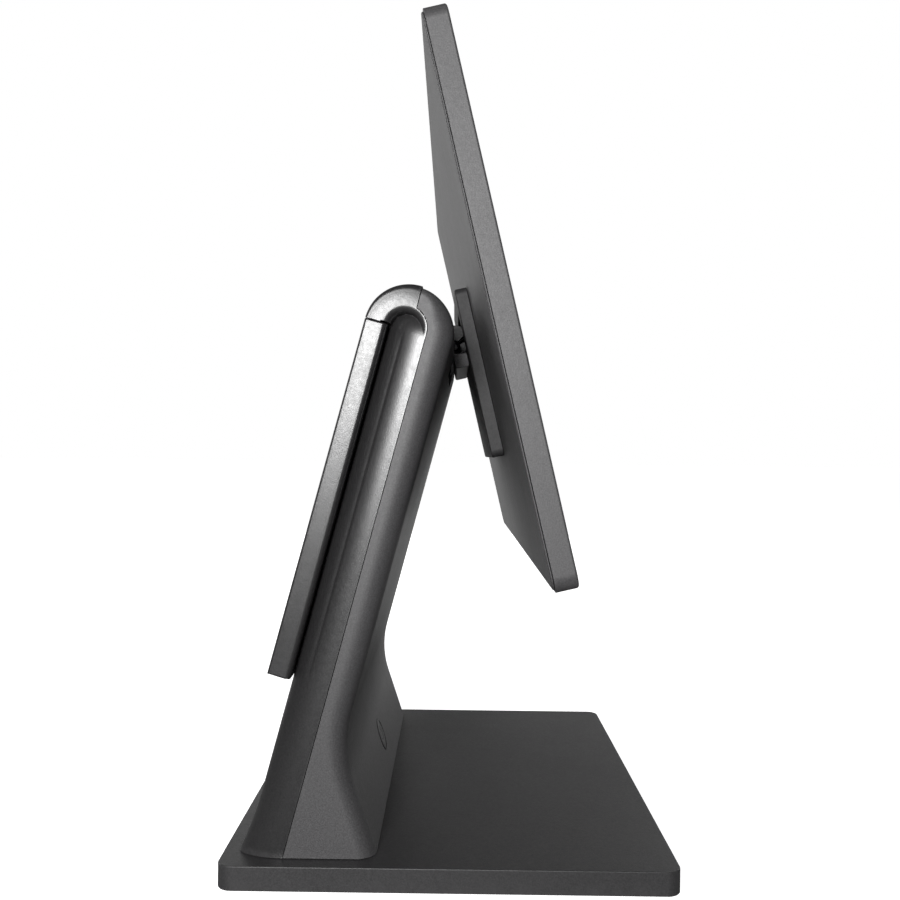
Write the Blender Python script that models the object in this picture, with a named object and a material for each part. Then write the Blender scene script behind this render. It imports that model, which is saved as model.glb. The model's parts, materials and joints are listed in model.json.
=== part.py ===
"""Point-of-sale touchscreen terminal: flat base, leaning column, rear customer display, tilting main display.

Frame: origin under the middle of the base on the table, +Z up, -Y towards the operator, +Y towards the
customer, X across. Lengths are in metres, written as millimetres times MM.
"""

import math

import bmesh
import bpy
from mathutils import Matrix, Vector

MM = 0.001
GAP = 0.3 * MM  # clearance between pieces that rest on each other
WELD = 0.001 * MM

# Base
BASE_WIDTH = 270 * MM
BASE_DEPTH = 213.5 * MM
BASE_HEIGHT = 11.4 * MM
BASE_CORNER = 7 * MM
BASE_EDGE = 1.2 * MM
BASE_WALL = 2.4 * MM
FOOT_HEIGHT = 1.5 * MM
FOOT_RADIUS = 9 * MM
WEIGHT_HEIGHT = 6 * MM
BASE_TOP = FOOT_HEIGHT + BASE_HEIGHT

# Column: a slab with a round top that leans towards the operator
LEAN = math.radians(14.72)
COLUMN_WIDTH = 253 * MM
COLUMN_RADIUS = 21.3 * MM  # half the slab's thickness, and the radius of its round top
TOP_AXIS_Y = 21.4 * MM  # centre of the round top
TOP_AXIS_Z = 260 * MM
FRONT_TOP_DROP = 1.0 * MM  # the front shell's round top sits this much lower than the rear one
REAR_FACE = 10.0 * MM  # rear wall of the column, behind the customer display
SIDE_ROUND = 9.0 * MM
WALL = 2.5 * MM
FLARE_ANGLE = math.radians(18.9)  # front foot, forwards of vertical
FLARE_RADIUS = 60 * MM
FLARE_TOE_Y = 34.1 * MM  # front foot line at the base's top
REAR_FLARE_TURN = math.radians(10)
REAR_FLARE_HEIGHT = 31 * MM
SEAM = -8.6 * MM
SEAM_TOP = -1.0 * MM
SEAM_RADIUS = 10.8 * MM
SEAM_CENTRE = SEAM + SEAM_RADIUS
GROOVE_RADIUS = 9.8 * MM
GROOVE_AXIS = 2.6 * MM
GROOVE_FLOOR = 9.0 * MM
GROOVE_LENGTH = 190 * MM
TOP_STEPS = 18
SIDE_STEPS = 5

# Customer display
CUSTOMER_LENGTH = 172.3 * MM
CUSTOMER_WALL = 2.0 * MM

# Main display, measured from the tilt axis: y towards the customer, z up the screen
TILT = math.radians(13.46)
AXIS_Y = -0.5 * MM
AXIS_Z = 269.0 * MM
SCREEN_WIDTH = 384 * MM
SCREEN_HEIGHT = 241.4 * MM
SCREEN_THICKNESS = 10.8 * MM
SCREEN_BACK = -10.5 * MM
SCREEN_MIDDLE = -8.1 * MM
SCREEN_CORNER = 7 * MM
SHADOW_GAP = 1.0 * MM
RIM = 2.0 * MM
GLASS = 1.8 * MM

# Hinge and mounting plate
VESA_WIDTH = 118 * MM
VESA_HEIGHT = 93 * MM
VESA_DEPTH = 6.9 * MM
VESA_MIDDLE = -25.3 * MM
VESA_PITCH = 75 * MM
VESA_PLATE = 2.0 * MM
KNUCKLE_RADIUS = 5.0 * MM
SHAFT_RADIUS = 2.5 * MM
NECK_WIDTH = 84 * MM

# Power button on the front of the foot
BUTTON_RADIUS = 9 * MM
BUTTON_Z = 34 * MM

# Connectors in the rear of the column
PORT_MIDDLE = -197 * MM
PORT_WINDOW = (176 * MM, 32 * MM)
PORT_FACE = 7.6 * MM


# ---------------------------------------------------------------- scene and materials

for old in list(bpy.data.objects):
    bpy.data.objects.remove(old, do_unlink=True)

parts = bpy.data.collections.new("pos_touchscreen_terminal")
cutters = bpy.data.collections.new("cutters")
cutters.hide_render = True
bpy.context.scene.collection.children.link(parts)
bpy.context.scene.collection.children.link(cutters)

FINISHES = {
    "graphite_shell": ((0.085, 0.085, 0.09), 0.45, 0.0),
    "graphite_dark": ((0.05, 0.05, 0.052), 0.5, 0.0),
    "graphite_metal": ((0.09, 0.09, 0.095), 0.4, 0.6),
    "black_steel": ((0.03, 0.03, 0.032), 0.45, 0.9),
    "zinc_steel": ((0.55, 0.56, 0.58), 0.35, 1.0),
    "rubber": ((0.02, 0.02, 0.02), 0.9, 0.0),
    "glass": ((0.01, 0.01, 0.012), 0.05, 0.0),
    "lcd": ((0.3, 0.31, 0.33), 0.4, 0.5),
    "circuit": ((0.02, 0.12, 0.06), 0.5, 0.0),
    "aluminium": ((0.6, 0.6, 0.62), 0.35, 1.0),
    "port_plastic": ((0.02, 0.02, 0.022), 0.5, 0.0),
}


def finish(name):
    material = bpy.data.materials.get(name)
    if material is None:
        colour, roughness, metallic = FINISHES[name]
        material = bpy.data.materials.new(name)
        material.use_nodes = True
        shader = material.node_tree.nodes["Principled BSDF"]
        shader.inputs["Base Color"].default_value = (*colour, 1)
        shader.inputs["Roughness"].default_value = roughness
        shader.inputs["Metallic"].default_value = metallic
    return material


def empty(name, matrix):
    holder = bpy.data.objects.new(name, None)
    holder.matrix_world = matrix
    parts.objects.link(holder)
    return holder


column_axis = empty(
    "column_top_axis",
    Matrix.Translation((0, TOP_AXIS_Y, TOP_AXIS_Z)) @ Matrix.Rotation(LEAN, 4, "X"),
)
tilt_axis = empty(
    "display_tilt_axis",
    Matrix.Translation((0, AXIS_Y, AXIS_Z)) @ Matrix.Rotation(-TILT, 4, "X"),
)


def foot_face_y(z):
    """Y of the front foot's face at height z."""
    return FLARE_TOE_Y + (z - BASE_TOP) * math.tan(FLARE_ANGLE)


# y into the column, z up the face
button_axis = empty(
    "power_button_axis",
    Matrix.Translation((0, foot_face_y(BUTTON_Z), BUTTON_Z)) @ Matrix.Rotation(-FLARE_ANGLE, 4, "X"),
)


# ---------------------------------------------------------------- modelling helpers

def from_bmesh(name, shape, collection, parent):
    bmesh.ops.recalc_face_normals(shape, faces=shape.faces)
    mesh = bpy.data.meshes.new(name)
    shape.to_mesh(mesh)
    shape.free()
    thing = bpy.data.objects.new(name, mesh)
    collection.objects.link(thing)
    thing.parent = parent
    return thing


def piece(name, shape, look, parent=None):
    """A named solid of the terminal, in its parent's frame."""
    thing = from_bmesh(name, shape, parts, parent)
    thing.data.materials.append(finish(look))
    thing.data.shade_smooth()
    thing.data.set_sharp_from_angle(angle=math.radians(32))
    return thing


def combine(thing, shape, operation, parent=None):
    """Boolean of a helper shape with a piece. The helper is not a node."""
    tool = from_bmesh(f"{thing.name}_tool_{len(thing.modifiers)}", shape, cutters, parent)
    tool.hide_render = True
    tool.display_type = "WIRE"
    boolean = thing.modifiers.new(tool.name, "BOOLEAN")
    boolean.object = tool
    boolean.operation = operation
    boolean.solver = "EXACT"


def cut(thing, shape, parent=None):
    combine(thing, shape, "DIFFERENCE", parent)


def add(thing, shape, parent=None):
    combine(thing, shape, "UNION", parent)


def box(size, centre=(0, 0, 0)):
    shape = bmesh.new()
    bmesh.ops.create_cube(shape, size=1)
    bmesh.ops.scale(shape, vec=size, verts=shape.verts)
    bmesh.ops.translate(shape, vec=centre, verts=shape.verts)
    return shape


def span(x, y, z):
    """Box from (low, high) pairs along each axis."""
    size = [high - low for low, high in (x, y, z)]
    centre = [(high + low) / 2 for low, high in (x, y, z)]
    return box(size, centre)


def rounded(shape, along, radius, steps=4):
    """Round the edges of a box that run along one axis (0, 1 or 2)."""
    edges = [
        edge
        for edge in shape.edges
        if abs((edge.verts[0].co - edge.verts[1].co).normalized()[along]) > 0.99
    ]
    bmesh.ops.bevel(shape, geom=edges, offset=radius, segments=steps, profile=0.5, affect="EDGES")
    return shape


def softened(shape, axis, side, radius, steps=2):
    """Round the rim of the face that points to the +1 or -1 side of an axis."""
    flat = [face for face in shape.faces if face.normal[axis] * side > 0.99]
    edges = {edge for face in flat for edge in face.edges}
    bmesh.ops.bevel(shape, geom=list(edges), offset=radius, segments=steps, profile=0.5, affect="EDGES")
    return shape


def rod(radius, ends, axis, centre=(0, 0), sides=24):
    """Cylinder between two positions along an axis, at a place in the other two."""
    shape = bmesh.new()
    length = ends[1] - ends[0]
    bmesh.ops.create_cone(
        shape, cap_ends=True, segments=sides, radius1=radius, radius2=radius, depth=length
    )
    middle = (ends[0] + ends[1]) / 2
    if axis == "X":
        turn = Matrix.Rotation(math.pi / 2, 4, "Y")
        place = (middle, *centre)
    elif axis == "Y":
        turn = Matrix.Rotation(math.pi / 2, 4, "X")
        place = (centre[0], middle, centre[1])
    else:
        turn = Matrix.Identity(4)
        place = (*centre, middle)
    bmesh.ops.transform(shape, matrix=Matrix.Translation(place) @ turn, verts=shape.verts)
    return shape


def shape_of_curve(curve):
    """The closed mesh of a filled or bevelled curve, with its caps welded on."""
    holder = bpy.data.objects.new(curve.name, curve)
    bpy.context.scene.collection.objects.link(holder)
    graph = bpy.context.evaluated_depsgraph_get()
    mesh = bpy.data.meshes.new_from_object(holder.evaluated_get(graph))
    bpy.data.objects.remove(holder, do_unlink=True)
    bpy.data.curves.remove(curve)
    shape = bmesh.new()
    shape.from_mesh(mesh)
    bpy.data.meshes.remove(mesh)
    bmesh.ops.remove_doubles(shape, verts=shape.verts, dist=WELD)
    return shape


def outline_solid(points, half_width):
    """Flat outline of (y, z) points, given a width across X."""
    curve = bpy.data.curves.new("outline", "CURVE")
    curve.dimensions = "2D"
    curve.fill_mode = "BOTH"
    curve.extrude = half_width
    spline = curve.splines.new("POLY")
    spline.points.add(len(points) - 1)
    for point, (y, z) in zip(spline.points, points):
        point.co = (y, z, 0, 1)
    spline.use_cyclic_u = True
    shape = shape_of_curve(curve)
    flat = math.radians(0.3)
    bmesh.ops.dissolve_limit(shape, angle_limit=flat, verts=shape.verts, edges=shape.edges)
    # the outline's x, y and z become Y, Z and X
    turn = Matrix(((0, 0, 1, 0), (1, 0, 0, 0), (0, 1, 0, 0), (0, 0, 0, 1)))
    bmesh.ops.transform(shape, matrix=turn, verts=shape.verts)
    bmesh.ops.recalc_face_normals(shape, faces=shape.faces)
    return shape


def arc(centre, radius, start, end, steps):
    """Points on a circle from one angle to another, both ends included."""
    angles = [start + (end - start) * i / steps for i in range(steps + 1)]
    return [(centre[0] + radius * math.cos(a), centre[1] + radius * math.sin(a)) for a in angles]


def along_column(y, z):
    """Column coordinates (y to the rear, z up the lean) of a world point (y, z)."""
    dy = y - TOP_AXIS_Y
    dz = z - TOP_AXIS_Z
    return (
        dy * math.cos(LEAN) + dz * math.sin(LEAN),
        -dy * math.sin(LEAN) + dz * math.cos(LEAN),
    )


# ---------------------------------------------------------------- column outline

def flare_outline(inset, below):
    """Front foot: from the leaning front face, round the bend, down to the base. World (y, z)."""
    front = COLUMN_RADIUS - inset
    # a point and the direction (downwards) of each straight line
    upper = Vector((TOP_AXIS_Y - front * math.cos(LEAN), TOP_AXIS_Z - front * math.sin(LEAN)))
    upper_way = Vector((math.sin(LEAN), -math.cos(LEAN)))
    lower_way = Vector((-math.sin(FLARE_ANGLE), -math.cos(FLARE_ANGLE)))
    toe = Vector((FLARE_TOE_Y + inset / math.cos(FLARE_ANGLE), BASE_TOP + GAP))
    toe += lower_way * below
    # distance down the upper line to where the two lines cross
    apart = toe - upper
    cross = upper_way.x * lower_way.y - upper_way.y * lower_way.x
    down = (apart.x * lower_way.y - apart.y * lower_way.x) / cross
    corner = upper + upper_way * down
    turn = LEAN + FLARE_ANGLE
    radius = FLARE_RADIUS + inset
    tangent = radius * math.tan(turn / 2)
    start = corner - upper_way * tangent
    centre = start + Vector((-math.cos(LEAN), -math.sin(LEAN))) * radius
    bend = arc(centre, radius, LEAN, -FLARE_ANGLE, 6)
    return bend + [tuple(toe)]


def rear_outline(inset, below):
    """Rear of the foot, from the base up to the straight rear face. World (y, z)."""
    wall = REAR_FACE - inset
    radius = REAR_FLARE_HEIGHT / (math.sin(LEAN + REAR_FLARE_TURN) - math.sin(LEAN))
    z_start = BASE_TOP + GAP + REAR_FLARE_HEIGHT
    # the straight face at that height
    up = (z_start - TOP_AXIS_Z - wall * math.sin(LEAN)) / math.cos(LEAN)
    start = Vector((TOP_AXIS_Y + wall * math.cos(LEAN) - up * math.sin(LEAN), z_start))
    centre = start + Vector((math.cos(LEAN), math.sin(LEAN))) * radius
    bend = arc(centre, radius, math.pi + LEAN, math.pi + LEAN + REAR_FLARE_TURN, 4)
    foot = [(bend[-1][0], bend[-1][1] - below)] if below else []
    return foot + list(reversed(bend))


def column_outline(inset, drop, below):
    """Whole column in column coordinates: round top, shelf over the customer display, rear face, foot, front.

    The foot ends at the base, or that far below it.
    """
    top = arc((0, -drop), COLUMN_RADIUS - inset, math.pi, 0, TOP_STEPS)
    shelf = [(REAR_FACE - inset, -drop)]
    world = flare_outline(inset, below) + rear_outline(inset, below)
    return top + shelf + [along_column(*point) for point in reversed(world)]


def column_body(inset, half_width, drop=0.0, below=0.0):
    """Solid column whose side rims are rounded, as a loft of outlines that shrink towards the sides."""
    radius = SIDE_ROUND - inset
    layers = []
    for step in range(SIDE_STEPS + 1):
        angle = math.pi / 2 * step / SIDE_STEPS
        layers.append(
            (
                half_width - radius * (1 - math.sin(angle)),
                inset + radius * (1 - math.cos(angle)),
            )
        )
    layers = [(-x, shrink) for x, shrink in reversed(layers)] + layers
    shape = bmesh.new()
    rings = [
        [shape.verts.new((x, y, z)) for y, z in column_outline(shrink, drop, below)]
        for x, shrink in layers
    ]
    for low, high in zip(rings, rings[1:]):
        for i in range(len(low)):
            j = (i + 1) % len(low)
            shape.faces.new((low[i], low[j], high[j], high[i]))
    shape.faces.new(rings[0])
    shape.faces.new(reversed(rings[-1]))
    return shape


def seam_side(offset, far):
    """Everything on one side of the seam between the two shells: far is a y beyond that side."""
    top = 40 * MM
    bottom = -300 * MM
    end = math.acos((SEAM_TOP + offset - SEAM_CENTRE) / (SEAM_RADIUS - offset))
    line = [(SEAM + offset, bottom)]
    line += arc((SEAM_CENTRE, 0), SEAM_RADIUS - offset, math.pi, end, 8)
    line += [(SEAM_TOP + offset, top)]
    return outline_solid(line + [(far, top), (far, bottom)], COLUMN_WIDTH)


def groove(side):
    """Scooped channel down one side of the rear shell: a round-ended cove that runs out at its lower end."""
    curve = bpy.data.curves.new("groove", "CURVE")
    curve.dimensions = "3D"
    curve.bevel_depth = GROOVE_RADIUS
    curve.bevel_resolution = 4
    curve.use_fill_caps = True
    dome = [math.radians(a) for a in (84, 66, 48, 30, 14)]
    heights = [GROOVE_RADIUS * math.sin(a) for a in dome] + [0, -GROOVE_LENGTH]
    radii = [math.cos(a) for a in dome] + [1, 1]
    spline = curve.splines.new("POLY")
    spline.points.add(len(heights) - 1)
    for point, height, radius in zip(spline.points, heights, radii):
        out = max(0.0, -height / GROOVE_LENGTH) * GROOVE_RADIUS
        point.co = (side * (COLUMN_WIDTH / 2 + out), GROOVE_AXIS, height, 1)
        point.radius = radius
    return shape_of_curve(curve)


def groove_floor(side):
    """Flat part of the groove beside the customer display, sloping out to nothing."""
    edge = COLUMN_WIDTH / 2
    shape = span((edge - GROOVE_FLOOR, edge + GROOVE_FLOOR), (GROOVE_AXIS, 15 * MM), (-GROOVE_LENGTH, 0))
    for vert in shape.verts:
        if vert.co.x < edge and vert.co.z < -GROOVE_LENGTH / 2:
            vert.co.x = edge + 0.5 * MM
    if side < 0:
        bmesh.ops.scale(shape, vec=(-1, 1, 1), verts=shape.verts)
    return shape


# ---------------------------------------------------------------- base

def plate(size, corner, centre, edge=0.0, side=1, steps=4):
    """Flat plate with round corners in plan and, if asked, a rounded rim on its top or bottom."""
    shape = rounded(box(size, centre), 2, corner, steps)
    return softened(shape, 2, side, edge) if edge else shape


base_cover = piece(
    "base_cover",
    plate(
        (BASE_WIDTH, BASE_DEPTH, BASE_HEIGHT),
        BASE_CORNER,
        (0, 0, FOOT_HEIGHT + BASE_HEIGHT / 2),
        BASE_EDGE,
        steps=6,
    ),
    "graphite_metal",
)
cut(
    base_cover,
    plate(
        (BASE_WIDTH - 2 * BASE_WALL, BASE_DEPTH - 2 * BASE_WALL, BASE_HEIGHT),
        BASE_CORNER - BASE_WALL,
        (0, 0, FOOT_HEIGHT + BASE_HEIGHT / 2 - BASE_WALL),
    ),
)

WEIGHT_BOTTOM = FOOT_HEIGHT + 0.8 * MM
FOOT_INSET = 20 * MM
weight = piece(
    "base_weight_plate",
    plate(
        (BASE_WIDTH - 2 * BASE_WALL - 2 * GAP, BASE_DEPTH - 2 * BASE_WALL - 2 * GAP, WEIGHT_HEIGHT),
        BASE_CORNER - BASE_WALL,
        (0, 0, WEIGHT_BOTTOM + WEIGHT_HEIGHT / 2),
    ),
    "zinc_steel",
)

FEET = {
    "front_left": (-1, -1),
    "front_right": (1, -1),
    "rear_left": (-1, 1),
    "rear_right": (1, 1),
}
for place, (x, y) in FEET.items():
    spot = (x * (BASE_WIDTH / 2 - FOOT_INSET), y * (BASE_DEPTH / 2 - FOOT_INSET))
    piece(f"foot_{place}", rod(FOOT_RADIUS, (0, WEIGHT_BOTTOM - GAP), "Z", spot, 28), "rubber")

# screws that come up through the weight plate and the base into the column frame
FLANGE_TOP = BASE_TOP + 3.2 * MM
BASE_SCREWS = [(x * MM, y * MM) for x in (-75, 75) for y in (52, 74)]
SCREW_RADIUS = 2.2 * MM
SCREW_HOLE = 2.6 * MM
HEAD_RADIUS = 4.2 * MM
HEAD_HOLE = 4.6 * MM
HEAD_BOTTOM = WEIGHT_BOTTOM + 0.4 * MM
HEAD_TOP = WEIGHT_BOTTOM + 3.2 * MM
KEY_RADIUS = 1.6 * MM
for number, spot in enumerate(BASE_SCREWS, 1):
    head = rod(HEAD_RADIUS, (HEAD_BOTTOM, HEAD_TOP), "Z", spot, 16)
    screw = piece(f"base_screw_{number}", head, "zinc_steel")
    add(screw, rod(SCREW_RADIUS, (HEAD_TOP - MM, FLANGE_TOP + MM), "Z", spot, 16))
    cut(screw, rod(KEY_RADIUS, (WEIGHT_BOTTOM, HEAD_BOTTOM + 1.4 * MM), "Z", spot, 6))
    cut(weight, rod(HEAD_HOLE, (WEIGHT_BOTTOM - MM, HEAD_TOP + GAP), "Z", spot, 16))
    cut(weight, rod(SCREW_HOLE, (WEIGHT_BOTTOM, BASE_TOP), "Z", spot, 16))
    cut(base_cover, rod(SCREW_HOLE, (WEIGHT_BOTTOM, BASE_TOP + MM), "Z", spot, 16))


# ---------------------------------------------------------------- column shells

half = COLUMN_WIDTH / 2
BELOW = 5 * MM
front_shell = piece(
    "column_front_shell", column_body(0, half, FRONT_TOP_DROP), "graphite_shell", column_axis
)
cut(front_shell, column_body(WALL, half - WALL, FRONT_TOP_DROP, BELOW), column_axis)
cut(front_shell, seam_side(0, 80 * MM), column_axis)

rear_shell = piece("column_rear_shell", column_body(0, half), "graphite_dark", column_axis)
cut(rear_shell, column_body(WALL, half - GROOVE_RADIUS - WALL, 0, BELOW), column_axis)
cut(rear_shell, seam_side(GAP, -120 * MM), column_axis)
for side in (-1, 1):
    cut(rear_shell, groove(side), column_axis)
    cut(rear_shell, groove_floor(side), column_axis)

# window for the hinge in the front of the round top
HINGE_WINDOW = 46 * MM
cut(
    front_shell,
    span((-HINGE_WINDOW, HINGE_WINDOW), (-30 * MM, -8.5 * MM), (-10 * MM, 18.6 * MM)),
    column_axis,
)


# ---------------------------------------------------------------- inside the column

# everything here hangs on a steel upright: circuit boards behind it, drive and power supply in front
FRAME_FRONT = -5.2 * MM
FRAME_BACK = -3.2 * MM
FRAME_SPAN = (-100 * MM, 100 * MM)
FRAME_HEIGHT = (-251 * MM, 14 * MM)
FLANGE_Y = (46 * MM, 82 * MM)
CABLE_SLOT = (30 * MM, 20 * MM, 14 * MM)
CABLE_SLOT_Z = -200 * MM

column_frame = piece(
    "column_frame", span(FRAME_SPAN, (FRAME_FRONT, FRAME_BACK), FRAME_HEIGHT), "zinc_steel", column_axis
)
add(column_frame, span(FRAME_SPAN, FLANGE_Y, (BASE_TOP + GAP, FLANGE_TOP)))
for spot in BASE_SCREWS:
    cut(column_frame, rod(SCREW_HOLE, (BASE_TOP - MM, FLANGE_TOP + MM), "Z", spot, 16))
for x in (-60, 0, 60):
    slot = rounded(box(CABLE_SLOT, (x * MM, FRAME_BACK, CABLE_SLOT_Z)), 1, 4 * MM, 3)
    cut(column_frame, slot, column_axis)


def add_blocks(board, blocks, depth, parent):
    """Components on a circuit board, as (x, z, width, height) in millimetres."""
    for x, z, width, height in blocks:
        across = ((x - width / 2) * MM, (x + width / 2) * MM)
        up = ((z - height / 2) * MM, (z + height / 2) * MM)
        add(board, span(across, depth, up), parent)


MAINBOARD = ((-85 * MM, 85 * MM), (-1.8 * MM, -0.2 * MM), (-165 * MM, -25 * MM))
MAINBOARD_CHIPS = [(40, -60, 34, 14), (60, -130, 20, 20), (-60, -140, 26, 18), (-66, -60, 10, 40)]
mainboard = piece("mainboard", rounded(span(*MAINBOARD), 1, 3 * MM, 2), "circuit", column_axis)
add_blocks(mainboard, MAINBOARD_CHIPS, (-1 * MM, 2.4 * MM), column_axis)

HEATSINK_REACH = 32 * MM
HEATSINK_Z = (-130 * MM, -70 * MM)
FIN_TOP = 6.8 * MM
FIN_THICKNESS = 1.6 * MM
FINS = 9
heatsink = piece(
    "cpu_heatsink",
    span((-HEATSINK_REACH, HEATSINK_REACH), (0.1 * MM, 1.8 * MM), HEATSINK_Z),
    "aluminium",
    column_axis,
)
fin_z = (HEATSINK_Z[0] + 0.5 * MM, HEATSINK_Z[1] - 0.5 * MM)
for fin in range(FINS):
    x = (HEATSINK_REACH - 2 * MM) * (2 * fin / (FINS - 1) - 1)
    across = (x - FIN_THICKNESS / 2, x + FIN_THICKNESS / 2)
    add(heatsink, span(across, (MM, FIN_TOP), fin_z), column_axis)

DRIVE = ((-85 * MM, -15 * MM), (-13.5 * MM, -6.5 * MM), (-150 * MM, -50 * MM))
piece("ssd_drive", rounded(span(*DRIVE), 1, 2 * MM, 2), "aluminium", column_axis)

POWER_BOARD = ((15 * MM, 90 * MM), (-7.4 * MM, -5.8 * MM), (-150 * MM, -60 * MM))
POWER_PARTS = [(35, -80, 22, 22), (70, -90, 14, 30), (50, -130, 40, 16)]
power_board = piece("power_board", span(*POWER_BOARD), "circuit", column_axis)
add_blocks(power_board, POWER_PARTS, (-15 * MM, -7 * MM), column_axis)

SPEAKER = ((55 * MM, 95 * MM), (-17 * MM, -6 * MM), (-205 * MM, -175 * MM))
CONE_RADIUS = 12 * MM
speaker = piece("speaker", rounded(span(*SPEAKER), 1, 4 * MM, 3), "port_plastic", column_axis)
cone_middle = (sum(SPEAKER[0]) / 2, sum(SPEAKER[2]) / 2)
cut(speaker, rod(CONE_RADIUS, (-18 * MM, -15 * MM), "Y", cone_middle), column_axis)


# ---------------------------------------------------------------- power button

BUTTON_PROUD = 0.5 * MM
BUTTON_LIP = 1.6 * MM  # keeps the button from falling out forwards
LIP_Y = (3.0 * MM, 4.6 * MM)
SWITCH_REACH = 7 * MM
SWITCH_Y = (7.4 * MM, 12 * MM)
PLUNGER_RADIUS = 2 * MM
PLUNGER_Y = (6.2 * MM, 8 * MM)

cut(front_shell, rod(BUTTON_RADIUS + GAP, (-8 * MM, 8 * MM), "Y", sides=28), button_axis)
cap = rod(BUTTON_RADIUS, (-BUTTON_PROUD, LIP_Y[0] + 0.6 * MM), "Y", sides=28)
button = piece("power_button", softened(cap, 1, -1, 0.5 * MM), "graphite_shell", button_axis)
add(button, rod(BUTTON_RADIUS + BUTTON_LIP, LIP_Y, "Y", sides=28), button_axis)
reach = (-SWITCH_REACH, SWITCH_REACH)
power_switch = piece("power_switch", span(reach, SWITCH_Y, reach), "port_plastic", button_axis)
add(power_switch, rod(PLUNGER_RADIUS, PLUNGER_Y, "Y", sides=12), button_axis)


# ---------------------------------------------------------------- connectors

window_x, window_z = PORT_WINDOW
cut(
    rear_shell,
    rounded(box((window_x, 14 * MM, window_z), (0, 10 * MM, PORT_MIDDLE)), 1, 3 * MM, 3),
    column_axis,
)
PANEL_Y = (5.6 * MM, 7.1 * MM)
port_panel = piece(
    "port_panel",
    rounded(
        box(
            (window_x - 2 * GAP, PANEL_Y[1] - PANEL_Y[0], window_z - 2 * GAP),
            (0, sum(PANEL_Y) / 2, PORT_MIDDLE),
        ),
        1,
        2.7 * MM,
        3,
    ),
    "black_steel",
    column_axis,
)

# name: (x, width, height, mouths as (z, width, height), tongue thickness) in millimetres
SOCKETS = {
    "port_lan": (-48, 16, 14, [(0, 11.8, 8.4)], 0),
    "port_serial": (-26, 16, 14, [(0, 9.8, 7.2)], 0),
    "port_drawer": (-4, 16, 14, [(0, 9.8, 7.2)], 0),
    "port_usb_1": (18, 14.6, 15.6, [(-3.8, 12.4, 5.2), (3.8, 12.4, 5.2)], 2.0),
    "port_usb_2": (38, 14.6, 15.6, [(-3.8, 12.4, 5.2), (3.8, 12.4, 5.2)], 2.0),
    "port_video": (60, 17, 8, [(0, 14.4, 5.0)], 2.0),
}
SOCKET_BACK = -2.6 * MM
MOUTH_BACK = -0.9 * MM
for name, (x, width, height, mouths, tongue) in SOCKETS.items():
    place = (x * MM, (PORT_FACE + SOCKET_BACK) / 2, PORT_MIDDLE)
    socket = piece(
        name,
        box((width * MM, PORT_FACE - SOCKET_BACK, height * MM), place),
        "zinc_steel" if tongue or name == "port_lan" else "port_plastic",
        column_axis,
    )
    hole = ((width + 0.6) * MM, 10 * MM, (height + 0.6) * MM)
    cut(port_panel, box(hole, place), column_axis)
    for z, mouth_width, mouth_height in mouths:
        x_span = ((x - mouth_width / 2) * MM, (x + mouth_width / 2) * MM)
        middle = PORT_MIDDLE + z * MM
        reach = mouth_height / 2 * MM
        cut(socket, span(x_span, (MOUTH_BACK, 12 * MM), (middle - reach, middle + reach)), column_axis)
        if tongue:
            blade_x = (x_span[0] + 1 * MM, x_span[1] - 1 * MM)
            blade_z = (middle - tongue / 2 * MM, middle + tongue / 2 * MM)
            add(socket, span(blade_x, (MOUTH_BACK - MM, PORT_FACE - MM), blade_z), column_axis)

DC_X = -70 * MM
dc_inlet = piece(
    "dc_inlet",
    rod(5.5 * MM, (SOCKET_BACK, PORT_FACE), "Y", (DC_X, PORT_MIDDLE), 20),
    "port_plastic",
    column_axis,
)
cut(port_panel, rod(5.8 * MM, (0, 12 * MM), "Y", (DC_X, PORT_MIDDLE), 20), column_axis)
cut(dc_inlet, rod(3.2 * MM, (MOUTH_BACK, 12 * MM), "Y", (DC_X, PORT_MIDDLE), 20), column_axis)
add(dc_inlet, rod(1.0 * MM, (MOUTH_BACK - MM, PORT_FACE - MM), "Y", (DC_X, PORT_MIDDLE), 12), column_axis)


# ---------------------------------------------------------------- customer display

customer_y = (REAR_FACE + GAP, COLUMN_RADIUS)
customer_z = (-GAP - CUSTOMER_LENGTH, -GAP)
customer_middle = sum(customer_z) / 2
customer = rounded(
    span((-half, half), customer_y, customer_z),
    1,
    2.5 * MM,
    3,
)
customer_housing = piece(
    "customer_housing", softened(customer, 1, 1, 1.2 * MM), "graphite_shell", column_axis
)
pocket_x = half - CUSTOMER_WALL
pocket_z = CUSTOMER_LENGTH / 2 - CUSTOMER_WALL
customer_floor = customer_y[0] + CUSTOMER_WALL
cut(
    customer_housing,
    rounded(
        box((2 * pocket_x, 20 * MM, 2 * pocket_z), (0, customer_floor + 10 * MM, customer_middle)),
        1,
        1.5 * MM,
        2,
    ),
    column_axis,
)
customer_glass_y = (COLUMN_RADIUS - 0.4 * MM - 1.4 * MM, COLUMN_RADIUS - 0.4 * MM)
piece(
    "customer_glass",
    rounded(
        box(
            (2 * (pocket_x - GAP), customer_glass_y[1] - customer_glass_y[0], 2 * (pocket_z - GAP)),
            (0, sum(customer_glass_y) / 2, customer_middle),
        ),
        1,
        1.2 * MM,
        2,
    ),
    "glass",
    column_axis,
)
lcd_y = (customer_glass_y[0] - GAP - 3 * MM, customer_glass_y[0] - GAP)
piece(
    "customer_lcd",
    span((-112 * MM, 112 * MM), lcd_y, (customer_middle - 66 * MM, customer_middle + 66 * MM)),
    "lcd",
    column_axis,
)
CUSTOMER_BOARD = (45 * MM, 20 * MM)  # half its width and height
board_floor = customer_floor + GAP
customer_board = piece(
    "customer_board",
    span(
        (-CUSTOMER_BOARD[0], CUSTOMER_BOARD[0]),
        (board_floor, board_floor + MM),
        (customer_middle - CUSTOMER_BOARD[1], customer_middle + CUSTOMER_BOARD[1]),
    ),
    "circuit",
    column_axis,
)
chip = [(0, customer_middle / MM, 24, 18)]
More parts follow.
